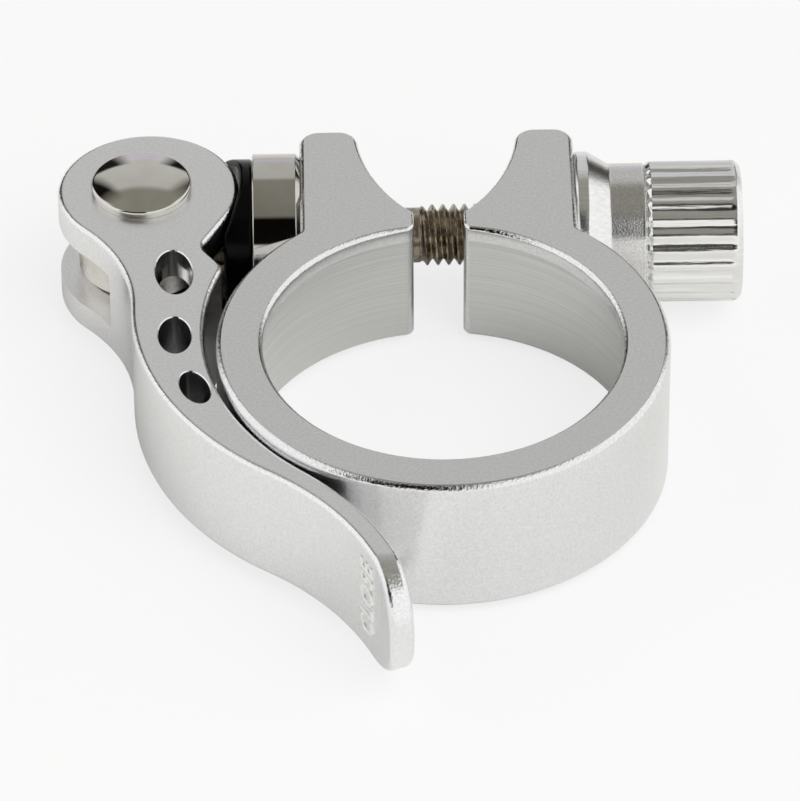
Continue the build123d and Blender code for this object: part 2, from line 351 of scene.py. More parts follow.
def oiled_steel(name, dark, light, film_height):
    """Rolled carbon steel under a film of oil: dark and brownish, uneven, with a dull shine."""
    material, tree = blank_material(name)
    place = add(tree, "ShaderNodeTexCoord").outputs["Object"]
    film = add(tree, "ShaderNodeTexNoise", {"Vector": place, "Scale": 1 / (1.2 * MM), "Detail": 4.0})
    colour = add(
        tree, "ShaderNodeValToRGB", {"Fac": film.outputs["Fac"]}, stops=((0.32, dark), (0.68, light))
    )
    roughness = add(
        tree,
        "ShaderNodeMapRange",
        {"Value": film.outputs["Fac"], "From Min": 0.3, "From Max": 0.7, "To Min": 0.2, "To Max": 0.34},
    )
    height = add(tree, "ShaderNodeMath", {0: film.outputs["Fac"], 1: film_height}, operation="MULTIPLY")
    finish_material(
        tree,
        {"Base Color": colour.outputs["Color"], "Metallic": 1.0, "Roughness": roughness.outputs["Result"]},
        height.outputs["Value"],
    )
    return material


def moulded_acetal(name):
    """Black acetal, injection moulded: deep and glossy with a slight flow mottle."""
    mottle_height = 4.0
    material, tree = blank_material(name)
    place = add(tree, "ShaderNodeTexCoord").outputs["Object"]
    flow = add(tree, "ShaderNodeTexNoise", {"Vector": place, "Scale": 1 / (2.5 * MM), "Detail": 3.0})
    colour = add(
        tree, "ShaderNodeValToRGB", {"Fac": flow.outputs["Fac"]}, stops=((0.3, "#020202"), (0.7, "#060606"))
    )
    roughness = add(
        tree,
        "ShaderNodeMapRange",
        {"Value": flow.outputs["Fac"], "From Min": 0.3, "From Max": 0.7, "To Min": 0.14, "To Max": 0.24},
    )
    height = add(tree, "ShaderNodeMath", {0: flow.outputs["Fac"], 1: mottle_height}, operation="MULTIPLY")
    finish_material(
        tree,
        {
            "Base Color": colour.outputs["Color"],
            "Roughness": roughness.outputs["Result"],
            "IOR": 1.48,
            "Specular IOR Level": 0.1,
        },
        height.outputs["Value"],
    )
    return material


def dress(piece, body, slot, material, *nodes):
    """Gives a piece its body, its finish and the solids that it stands for."""
    piece.data.materials.clear()
    piece.data.materials.append(material)
    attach(piece, body)
    if nodes:
        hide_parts(*nodes)


def place_mesh(name, mesh):
    """Puts a mesh into the scene, shaded by its larger faces so that flats stay flat beside their rounds."""
    piece = bpy.data.objects.new(name, mesh)
    bpy.context.scene.collection.objects.link(piece)
    mesh.shade_smooth()
    mesh.set_sharp_from_angle(angle=radians(36))
    weigh = piece.modifiers.new("flat faces first", "WEIGHTED_NORMAL")
    weigh.keep_sharp = True
    return piece


def mark_flatness(piece):
    """Keeps with each corner how level it lies: the size of its normal's z, 1 on a flat and 0 on a wall."""
    bpy.context.view_layer.update()
    shaded = piece.evaluated_get(bpy.context.evaluated_depsgraph_get()).data
    normals = np.empty(len(shaded.loops) * 3, np.float32)
    shaded.corner_normals.foreach_get("vector", normals)
    flatness = piece.data.attributes.new("flatness", "FLOAT", "CORNER")
    flatness.data.foreach_set("value", np.abs(normals[2::3]))
    return piece


def smooth_copy(name, node):
    """A copy of a solid's mesh, merged so that it shades smoothly."""
    mesh = frame["nodes"][node].data.copy()
    mesh.name = name
    work = bmesh.new()
    work.from_mesh(mesh)
    bmesh.ops.remove_doubles(work, verts=work.verts, dist=1e-6)
    work.to_mesh(mesh)
    work.free()
    return place_mesh(name, mesh)


def ease(value, start, end):
    """A smooth step from 0 at start to 1 at end."""
    share = np.clip((value - start) / (end - start), 0, 1)
    return share * share * (3 - 2 * share)


def rubbed_tip(points):
    """The lever's tip rubbed down towards its inner side.

    The drop grows across the tip, along its rounding and away from the middle of the height."""
    drop, start_angle, full_angle, turned_off = 0.45, 23.0, 15.0, 40.0
    offset = points[:, :2] - TAIL_CENTRE
    across = ease(np.linalg.norm(offset, axis=1), TAIL_RADIUS + 0.3, TAIL_RADIUS + 3.2)
    angle = np.degrees(np.arctan2(offset[:, 1], offset[:, 0]))
    along = ease(angle, start_angle, full_angle) * (np.abs(angle) < turned_off)
    upward = ease(np.abs(points[:, 2]), 0.5, 3.5)
    moved = points.copy()
    moved[:, 2] -= np.sign(points[:, 2]) * drop * across * along * upward
    return moved


def surface(points, ring=False, caps=False):
    """A grid of points, rows by columns, closed round its columns, and along its rows if it is a ring.

    Each cell of the grid is a face. Rows that shrink to a point on the axis are merged there, and caps are
    flat faces on the first and last rows."""
    rows, columns = points.shape[:2]
    index = np.arange(rows * columns).reshape(rows, columns)
    ends = [index[0, ::-1].tolist(), index[-1].tolist()] if caps else []
    index = np.hstack([index, index[:, :1]])
    if ring:
        index = np.vstack([index, index[:1]])
    quads = np.stack([index[:-1, :-1], index[1:, :-1], index[1:, 1:], index[:-1, 1:]], axis=-1)
    mesh = bpy.data.meshes.new("surface")
    mesh.from_pydata((points.reshape(-1, 3) * MM).tolist(), [], quads.reshape(-1, 4).tolist() + ends)
    work = bmesh.new()
    work.from_mesh(mesh)
    bmesh.ops.remove_doubles(work, verts=work.verts, dist=1e-7)
    bmesh.ops.dissolve_degenerate(work, edges=work.edges, dist=1e-7)
    bmesh.ops.recalc_face_normals(work, faces=work.faces)
    work.to_mesh(mesh)
    work.free()
    return mesh


def prism(loop, half):
    """A closed outline carried straight up from -half to half, with flat ends."""
    return surface(
        np.stack([np.column_stack([loop, np.full(len(loop), level)]) for level in (-half, half)]), caps=True
    )


def cut_away(mesh, *cutters):
    """A mesh less the closed forms of other meshes."""
    blanks = [bpy.data.objects.new("blank", form) for form in (mesh, *cutters)]
    for blank in blanks:
        bpy.context.scene.collection.objects.link(blank)
    for cutter in blanks[1:]:
        cut = blanks[0].modifiers.new("cut", "BOOLEAN")
        cut.object = cutter
        cut.solver = "EXACT"
    bpy.context.view_layer.update()
    result = bpy.data.meshes.new_from_object(blanks[0].evaluated_get(bpy.context.evaluated_depsgraph_get()))
    for blank in blanks:
        bpy.data.objects.remove(blank)
    return result


def rounded(corners, ring=False, steps=7):
    """A path of (along, radius, round) corners, each corner an arc that touches both of its sides.

    The arc's centre lies on the corner's bisector, round / sin(half angle) from the corner, and it starts
    round / tan(half angle) along each side."""
    corners = np.array(corners, float)
    path = []
    for number, (along, radius, size) in enumerate(corners):
        corner = np.array([along, radius])
        if size == 0 or (not ring and number in (0, len(corners) - 1)):
            path.append(corner[None])
            continue
        before = corners[number - 1, :2] - corner
        after = corners[(number + 1) % len(corners), :2] - corner
        before /= np.linalg.norm(before)
        after /= np.linalg.norm(after)
        half = np.arccos(np.clip(before @ after, -1, 1)) / 2
        bisector = (before + after) / np.linalg.norm(before + after)
        centre = corner + bisector * size / np.sin(half)
        start = corner + before * size / np.tan(half) - centre
        end = corner + after * size / np.tan(half) - centre
        share = np.linspace(0, 1, steps)[:, None]
        sweep = pi - 2 * half
        spokes = start * np.sin((1 - share) * sweep) + end * np.sin(share * sweep)
        path.append(centre + spokes / np.sin(sweep))
    return np.vstack(path)


def turned_on_skewer(along, radius, angle):
    """Points of a turned form on the skewer's axis: x runs along it, the radius goes round y and z."""
    along, radius, angle = np.broadcast_arrays(along, radius, angle)
    return np.stack([along, PIN_Y + radius * np.cos(angle), radius * np.sin(angle)], axis=-1)


def turned_on_pin(height, radius, angle):
    """Points of a turned form on the pivot pin's axis: z runs along it, the radius goes round x and y."""
    height, radius, angle = np.broadcast_arrays(height, radius, angle)
    return np.stack([PIN_X + radius * np.cos(angle), PIN_Y + radius * np.sin(angle), height], axis=-1)


def round_angles(count):
    """Evenly spaced angles round a full turn, as one row."""
    return (np.arange(count) * TURN / count)[None]


def arc(centre, radius, start, end, count):
    """Points round a centre from one angle to another, in degrees."""
    angle = np.radians(np.linspace(start, end, count))
    return np.asarray(centre) + radius * np.stack([np.cos(angle), np.sin(angle)], axis=-1)


def bearing(way):
    """The angle of a direction, in degrees from +X."""
    return np.degrees(np.arctan2(way[1], way[0]))


def collar_outline(inner):
    """The collar from above with a bore of this radius, and how far its top edge is worn at each point.

    One half runs up the ring, round the ear, down the valley and the slot and back along the bore; the other
    half is its mirror. Every corner is an arc, its centre at the arc's radius from both of its sides."""
    ring, ear_top = -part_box("clamp_collar")[0][1] / MM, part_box("clamp_collar")[1][1] / MM
    gap, valley, root, tip, lip, mouth = 2.3, 18.2, 0.4, 1.8, 0.55, 0.8
    throat, ear_tip = np.array([gap, 18.4]), np.array([7.4, ear_top])
    way = ear_tip - throat
    half_way = np.linalg.norm(way) / 2
    aside = np.array([-way[1], way[0]]) / (2 * half_way)
    scoop = (throat + ear_tip) / 2 + aside * np.sqrt(valley**2 - half_way**2)
    at_root = np.array([EAR_FACE + root, np.sqrt((ring + root) ** 2 - (EAR_FACE + root) ** 2)])
    at_tip = np.array([0, ear_top - tip])
    at_tip[0] = scoop[0] + np.sqrt((valley + tip) ** 2 - (at_tip[1] - scoop[1]) ** 2)
    at_throat = np.array([gap + lip, 0])
    at_throat[1] = scoop[1] - np.sqrt((valley + lip) ** 2 - (at_throat[0] - scoop[0]) ** 2)
    at_bore = np.array([gap + mouth, np.sqrt((inner + mouth) ** 2 - (gap + mouth) ** 2)])
    stretches = [
        (arc((0, 0), ring, -90, bearing(at_root), 160), 0.5),
        (arc(at_root, root, bearing(at_root) + 180, 180, 7), 0.45),
        (arc((EAR_FACE - tip, ear_top - tip), tip, 0, 90, 16), 0.4),
        (arc(at_tip, tip, 90, bearing(scoop - at_tip) % 360, 16), 0.35),
        (arc(scoop, valley, bearing(at_tip - scoop), bearing(at_throat - scoop), 48), 0.3),
        (arc(at_throat, lip, bearing(scoop - at_throat), 180, 10), 0.2),
        (arc(at_bore, mouth, 180, bearing(at_bore) + 180, 10), 0.2),
        (arc((0, 0), inner, bearing(at_bore), -90, 180), 0.4),
    ]
    half = np.vstack([points for points, wear in stretches])
    worn = np.concatenate([np.full(len(points), wear) for points, wear in stretches])
    apart = np.linalg.norm(half - np.roll(half, 1, axis=0), axis=1) > 1e-6
    half, worn = half[apart], worn[apart]
    loop = np.vstack([half, half[-2:0:-1] * (-1, 1)])
    worn = np.concatenate([worn, worn[-2:0:-1]])
    spread = np.mean([np.roll(worn, step) for step in range(-8, 9)], axis=0)
    return loop, spread


def ledge(inner, level):
    """One row of the collar: its outline with a bore of this radius, at this height."""
    loop = collar_outline(inner)[0]
    return np.column_stack([loop, np.full(len(loop), level)])[None]


def worn_rim(inner, side, wear):
    """Rows of the collar's rim, from the wall to the flat, on its upper side (1) or its lower one (-1).

    Round a rim of size w the outline moves in by w (1 - cos^p t) and down by w (1 - sin^p t) as t goes from
    the wall to the flat; a p above 1 rubs the round flatter in its middle, as tumbling does."""
    power = 1.5
    climb = np.linspace(0, pi / 2, 12)[:, None]
    drawn_in, dropped = 1 - np.cos(climb) ** power, 1 - np.sin(climb) ** power
    loop = collar_outline(inner)[0]
    tangent = np.roll(loop, -1, axis=0) - np.roll(loop, 1, axis=0)
    inward = np.stack([-tangent[:, 1], tangent[:, 0]], axis=-1)
    inward /= np.linalg.norm(inward, axis=1, keepdims=True)
    spots = loop + (drawn_in * wear)[..., None] * inward
    return np.concatenate([spots, (side * (COLLAR_HALF - dropped * wear))[..., None]], axis=-1)


def collar_piece():
    """The collar: its outline carried up the height between worn rims, with a narrower bore at the lip.

    The lip's lower edge is a plain quarter round, and the rod's hole is drilled through both ears."""
    lip_round, lower_wear, drill_reach = 0.2, 0.5, 14.0
    upper_wear = collar_outline(LIP_BORE)[1]
    lip = [
        ledge(LIP_BORE + lip_round * (1 - sin(angle)), LIP_BOTTOM + lip_round * (1 - cos(angle)))
        for angle in np.linspace(0, pi / 2, 6)
    ]
    rows = [
        worn_rim(BORE, -1, np.full_like(upper_wear, lower_wear))[::-1],
        ledge(BORE, LIP_BOTTOM),
        *lip,
        worn_rim(LIP_BORE, 1, upper_wear),
    ]
    along, radius = drill_reach * np.array([-1, -1, 1, 1]), ROD_HOLE * np.array([0, 1, 1, 0])
    drill = surface(turned_on_skewer(along[:, None], radius[:, None], round_angles(96)))
    return mark_flatness(place_mesh("collar", cut_away(surface(np.concatenate(rows), caps=True), drill)))


def polar(centre, radius, angle):
    """The point at this radius and angle, in degrees, round a centre."""
    return np.asarray(centre) + radius * np.array([np.cos(radians(angle)), np.sin(radians(angle))])


def unit(way):
    """A direction of length 1."""
    return way / np.linalg.norm(way)


def lever_outline():
    """The lever from above, a chain of arcs that touch each other.

    It runs from the cam head round the neck, along the arm and the tail to the tip, and back along the ring
    side to the shoulder and the notch. Circles that touch lie their radii apart, or their difference."""
    pin = np.array([PIN_X, PIN_Y])
    head, head_radius = polar(pin, 0.64, -16), 8.32
    arm, arm_radius, neck_radius = ARM_CENTRE, ARM_RADIUS, 15.9
    hug, hug_radius, inner_radius = HUG_CENTRE, HUG_RADIUS, 28.1
    way = head - arm
    from_arm, from_head = arm_radius + neck_radius, head_radius + neck_radius
    along = (way @ way + from_arm**2 - from_head**2) / (2 * np.linalg.norm(way))
    aside = np.sqrt(from_arm**2 - along**2)
    neck = arm + unit(way) * along + np.array([-unit(way)[1], unit(way)[0]]) * aside
    tail_inner = polar(hug, hug_radius + inner_radius, 229.6)
    to_inner = tail_inner - TAIL_CENTRE
    tip_way = polar((0, 0), 1, TIP_ANGLE)
    reach = to_inner @ tip_way
    tip_inner = TAIL_CENTRE + tip_way * (reach + np.sqrt(inner_radius**2 - to_inner @ to_inner + reach**2))

    notch, shoulder = polar(pin, 10.2, -57), polar(hug, hug_radius, 158)
    to_notch = notch - head
    square = np.array([-to_notch[1], to_notch[0]]) * np.sqrt(to_notch @ to_notch - head_radius**2)
    leave = head + unit(to_notch * head_radius + square) * head_radius
    notch_round, shoulder_round = 1.4, 2.0
    down, up = unit(shoulder - notch), unit(leave - notch)
    half = np.arccos(down @ up) / 2
    at_notch = notch + unit(down + up) * notch_round / np.sin(half)
    outside = np.array([-down[1], down[0]])
    foot = notch - outside * shoulder_round - hug
    run = -(foot @ down) - np.sqrt((foot @ down) ** 2 - foot @ foot + (hug_radius + shoulder_round) ** 2)
    at_shoulder = hug + foot + down * run
    stretches = [
        arc(head, head_radius, bearing(leave - head), bearing(neck - head) % 360, 110),
        arc(neck, neck_radius, bearing(head - neck), bearing(arm - neck), 40),
        arc(arm, arm_radius, bearing(neck - arm) % 360, bearing(TAIL_CENTRE - arm) % 360, 90),
        arc(TAIL_CENTRE, TAIL_RADIUS, bearing(arm - TAIL_CENTRE), TIP_ANGLE, 70),
        arc(tail_inner, inner_radius, bearing(tip_inner - tail_inner), bearing(hug - tail_inner), 70),
        arc(hug, hug_radius, bearing(tail_inner - hug) % 360, bearing(at_shoulder - hug), 90),
        arc(at_shoulder, shoulder_round, bearing(hug - at_shoulder), bearing(outside), 12),
        arc(at_notch, notch_round, bearing(-outside) % 360, bearing(leave - notch) + 90, 14),
    ]
    loop = np.vstack(stretches)
    return loop[np.linalg.norm(loop - np.roll(loop, 1, axis=0), axis=1) > 1e-6]


def lever_piece():
    """The lever: its outline carried up the height, the tip rounded over, the rims rounded, then cut out.

    At a distance q from the tip's end the half height is h - r + sqrt(r^2 - (r - q)^2), with r the tip's
    round, and the height of every point shrinks in that ratio. Then the eye's slot, the pin's hole and the
    ovals are cut away."""
    half, tip_round, edge = LEVER_HALF, 5.4, 0.55
    mesh = prism(lever_outline(), half)
    tip, back = polar(TAIL_CENTRE, TAIL_RADIUS, TIP_ANGLE), polar((0, 0), 1, TIP_ANGLE + 90)
    work = bmesh.new()
    work.from_mesh(mesh)
    for share in np.linspace(0.06, 1, 20):
        spot = tip + back * tip_round * (1 - cos(share * pi / 2))
        every = work.verts[:] + work.edges[:] + work.faces[:]
        bmesh.ops.bisect_plane(work, geom=every, plane_co=(*spot * MM, 0), plane_no=(*back, 0), dist=1e-7)
    work.to_mesh(mesh)
    points = np.empty(len(mesh.vertices) * 3)
    mesh.vertices.foreach_get("co", points)
    points = points.reshape(-1, 3) / MM
    behind = np.clip(tip_round - (points[:, :2] - tip) @ back, 0, tip_round)
    points[:, 2] *= (half - tip_round + np.sqrt(tip_round**2 - behind**2)) / half
    mesh.vertices.foreach_set("co", (rubbed_tip(points) * MM).ravel())
    work.clear()
    work.from_mesh(mesh)
    rims = [line for line in work.edges if line.calc_face_angle(0) > radians(50)]
    bmesh.ops.bevel(work, geom=rims, offset=edge * MM, segments=6, profile=0.5, affect="EDGES")
    bmesh.ops.recalc_face_normals(work, faces=work.faces)
    work.to_mesh(mesh)
    work.free()
    return mark_flatness(place_mesh("lever", cut_away(mesh, fork_slot(), pin_hole(), *lever_holes())))


def fork_slot():
    """The slot that the eye turns in: the outline of two circles that overlap, carried through its height."""
    half, pocket, cutter, shift = 3.0, 9.6, 12.0, 5.0
    cross = (shift**2 + pocket**2 - cutter**2) / (2 * shift)
    rise = np.sqrt(pocket**2 - cross**2)
    near, far = bearing((cross - shift, rise)), bearing((cross, rise))
    front = arc((PIN_X + shift, PIN_Y), cutter, -near, near, 120)[:-1]
    back = arc((PIN_X, PIN_Y), pocket, far, 360 - far, 80)[:-1]
    return prism(np.vstack([front, back]), half)


def pin_hole():
    """The pin's hole: straight, and flared at the bottom where the pin is peened over."""
    hole, flare, flare_depth, spare = 3.02, 4.22, 0.7, 0.5
    low, high = -LEVER_HALF - spare, LEVER_HALF + spare
    height = np.array([low, low, -LEVER_HALF + flare_depth, high, high])
    radius = np.array([0, flare, hole, hole, 0])
    return surface(turned_on_pin(height[:, None], radius[:, None], round_angles(96)))


def lever_holes():
    """The oval holes: ellipses carried through the arm, each wider by a small chamfer at both faces.

    Each is placed by an angle round the arm's centre and a depth from the ring side, and leans a little."""
    chamfer, spare = 0.09, 0.3
    inside, outside = LEVER_HALF - chamfer, LEVER_HALF + spare
    level = np.array([-outside, -inside, inside, outside])[:, None]
    wider = np.array([chamfer + spare, 0, 0, chamfer + spare])[:, None]
    angle = round_angles(72)
    to_hug = HUG_CENTRE - ARM_CENTRE
    holes = []
    for length, width, inset, place, lean in (
        (6.3, 3.35, 4.03, 168.4, 5.0),
        (5.1, 2.95, 2.65, 189.4, 3.0),
        (4.6, 2.5, 1.95, 206.9, 19.0),
    ):
        outward = polar((0, 0), 1, place)
        reach = to_hug @ outward + np.sqrt(HUG_RADIUS**2 - to_hug @ to_hug + (to_hug @ outward) ** 2)
        middle = ARM_CENTRE + outward * (reach + inset)
        across, along = (width / 2 + wider) * np.cos(angle), (length / 2 + wider) * np.sin(angle)
        turn_cos, turn_sin = cos(radians(lean)), sin(radians(lean))
        x = middle[0] + across * turn_cos - along * turn_sin
        y = middle[1] + across * turn_sin + along * turn_cos
        holes.append(surface(np.stack([x, y, np.broadcast_to(level, x.shape)], axis=-1), caps=True))
    return holes


def spacer_piece():
    """A ring whose section is a rectangle with rounded corners and a chamfer at the ear's side."""
    left, right, outer, chamfer = -17.05, -EAR_FACE, 7.7, 0.4
    section = rounded(
        [
            (left, ROD_HOLE, 0.1),
            (left, outer, 0.18),
            (right - chamfer, outer, 0.12),
            (right, outer - chamfer, 0.12),
            (right, ROD_HOLE, 0.1),
        ],
        ring=True,
    )
    points = turned_on_skewer(section[:, :1], section[:, 1:], round_angles(128))
    return place_mesh("spacer", surface(points, ring=True))


def pin_piece():
    """A dome on a low rim, a shank and a flared lower end: one outline turned round the upright axis.

    The dome is an arc of a circle, radius (rim^2 + rise^2) / (2 rise)."""
    rim, base, edge, rise = 4.6, LEVER_HALF, 0.7, 0.85
    shank, flare = 3.0, 0.7
    ball = (rim**2 + rise**2) / (2 * rise)
    lean = np.arcsin(rim / ball) * np.linspace(0, 0.93, 26)
    dome = np.stack([base + edge + rise - ball * (1 - np.cos(lean)), ball * np.sin(lean)], axis=-1)
    shoulder = rounded(
        [(*dome[-1], 0), (base + edge, rim, 0.34), (base, rim, 0.05), (base, shank, 0)], steps=9
    )[1:]
    foot = rounded(
        [(base, shank, 0), (-base + flare, shank, 0), (-base, shank + flare, 0.05), (-base, 0.0, 0)]
    )[1:]
    outline = np.vstack([dome, shoulder, foot])
    points = turned_on_pin(outline[:, :1], outline[:, 1:], round_angles(128))
    return place_mesh("pivot_pin_turned", surface(points))


def eye_piece():
    """The eye's ring: a chamfered section turned round the pin."""
    half, outer, bore, chamfer = 2.85, 6.0, 3.05, 0.7
    section = rounded(
        [
            (-half, bore, 0.1),
            (-half, outer - chamfer, 0.08),
            (-half + chamfer, outer, 0.08),
            (half - chamfer, outer, 0.08),
            (half, outer - chamfer, 0.08),
            (half, bore, 0.1),
        ],
        ring=True,
    )
    points = turned_on_pin(section[:, :1], section[:, 1:], round_angles(96))
    return place_mesh("skewer_eye", surface(points, ring=True))


def rod_piece():
    """The rod: a plain shank, then a thread whose ridge climbs one pitch each turn.

    On the thread the radius follows a triangle wave of (place / pitch - angle / turn), with its crests and
    roots cut flat, and it is capped by the end's chamfer line."""
    start, thread_start, end = PIN_X + 5.0, -1.75, 25.05
    shank, root, crest, pitch, chamfer, phase = 2.55, 2.25, 2.82, 1.0, 0.6, 0.4
    flat_root, slope, runout_turns = 0.12, 0.72, 0.7
    along = np.concatenate(
        [
            [start, start],
            np.linspace(start + 0.2, thread_start - 0.02, 8),
            np.arange(thread_start, end, pitch / 18),
            [end, end],
        ]
    )[:, None]
    angle = round_angles(72)
    wave = np.abs(2 * np.mod(along / pitch - angle / TURN - phase, 1.0) - 1)
    thread = root + (crest - root) * np.clip((wave - flat_root) / slope, 0, 1)
    runout = np.clip((along - thread_start) / (runout_turns * pitch), 0, 1)
    radius = shank + (thread - shank) * runout
    radius = np.minimum(radius, crest - chamfer + (end - along))
    radius[0] = 0
    radius[-1] = 0
    return place_mesh("skewer_rod", surface(turned_on_skewer(along, radius, angle)))


def nut_piece():
    """The nut: flange, cone, neck and fluted grip in one turned outline.

    Round the grip the radius is less by depth (1 + cos(flutes angle)) / 2, so that ridges and flutes are even
    waves; they run out before the end's chamfer."""
    flutes, depth, flange, neck, grip = 26, 0.25, 7.5, 6.35, 6.5
    bore, end = 2.95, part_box("thumb_nut")[1][0] / MM
    outline = rounded(
        [
            (EAR_FACE, bore, 0.1),
            (EAR_FACE, flange, 0.35),
            (EAR_FACE + 1.2, flange, 0.35),
            (NECK_START, neck, 0.3),
            (GRIP_START, neck, 0.1),
            (GRIP_START + 0.15, neck - 0.2, 0.05),
            (GRIP_START + 0.6, grip, 0.4),
            (end - 1.1, grip, 0.0),
            (end - 0.5, grip, 0.2),
            (end, grip - 0.5, 0.15),
            (end, bore + 0.6, 0.1),
            (end - 0.6, bore, 0.1),
        ],
        ring=True,
    )
    along, radius = outline[:, :1], outline[:, 1:]
    angle = round_angles(flutes * 12)
    on_grip = (along > GRIP_START + 0.05) * np.clip((end - 0.6 - along) / 0.4, 0, 1)
    radius = radius - on_grip * depth * (1 + np.cos(flutes * angle)) / 2
    return place_mesh("thumb_nut_turned", surface(turned_on_skewer(along, radius, angle), ring=True))


def lettering():
    """The word CLOSE as raised letters on the lever's outer face near its tip.

    A flat text is laid on the tail's round face: its length runs up z, its height is an angle round the
    tail's centre, and its thickness stands out of the face."""
    word_length, word_height, word_angle, word_level = 8.2, 2.4, radians(24.6), 0.4
    proud_by, sunk_by = 0.14, 0.1
    curve = bpy.data.curves.new("close_word", "FONT")
    curve.body = "CLOSE"
    curve.align_x = "CENTER"
    curve.align_y = "CENTER"
    curve.extrude = 0.02
    curve.bevel_depth = 0.025
    curve.bevel_resolution = 2
    text = bpy.data.objects.new("close_word", curve)
    bpy.context.scene.collection.objects.link(text)
    bpy.context.view_layer.update()
    mesh = bpy.data.meshes.new_from_object(text.evaluated_get(bpy.context.evaluated_depsgraph_get()))
    bpy.data.objects.remove(text)
    flat = np.empty(len(mesh.vertices) * 3)
    mesh.vertices.foreach_get("co", flat)
    along, up, out = flat.reshape(-1, 3).T
    proud = np.where(out > 0, proud_by * out / out.max(), -sunk_by)
    angle = word_angle + up * word_height / np.ptp(up) / TAIL_RADIUS
    reach = TAIL_RADIUS - proud
    level = word_level + along * word_length / np.ptp(along)
    x = TAIL_CENTRE[0] + reach * np.cos(angle)
    y = TAIL_CENTRE[1] + reach * np.sin(angle)
    mesh.vertices.foreach_set("co", (np.stack([x, y, level], axis=-1) * MM).ravel())
    work = bmesh.new()
    work.from_mesh(mesh)
    bmesh.ops.remove_doubles(work, verts=work.verts, dist=1e-7)
    bmesh.ops.recalc_face_normals(work, faces=work.faces)
    work.to_mesh(mesh)
    work.free()
    return place_mesh("close_word", mesh)


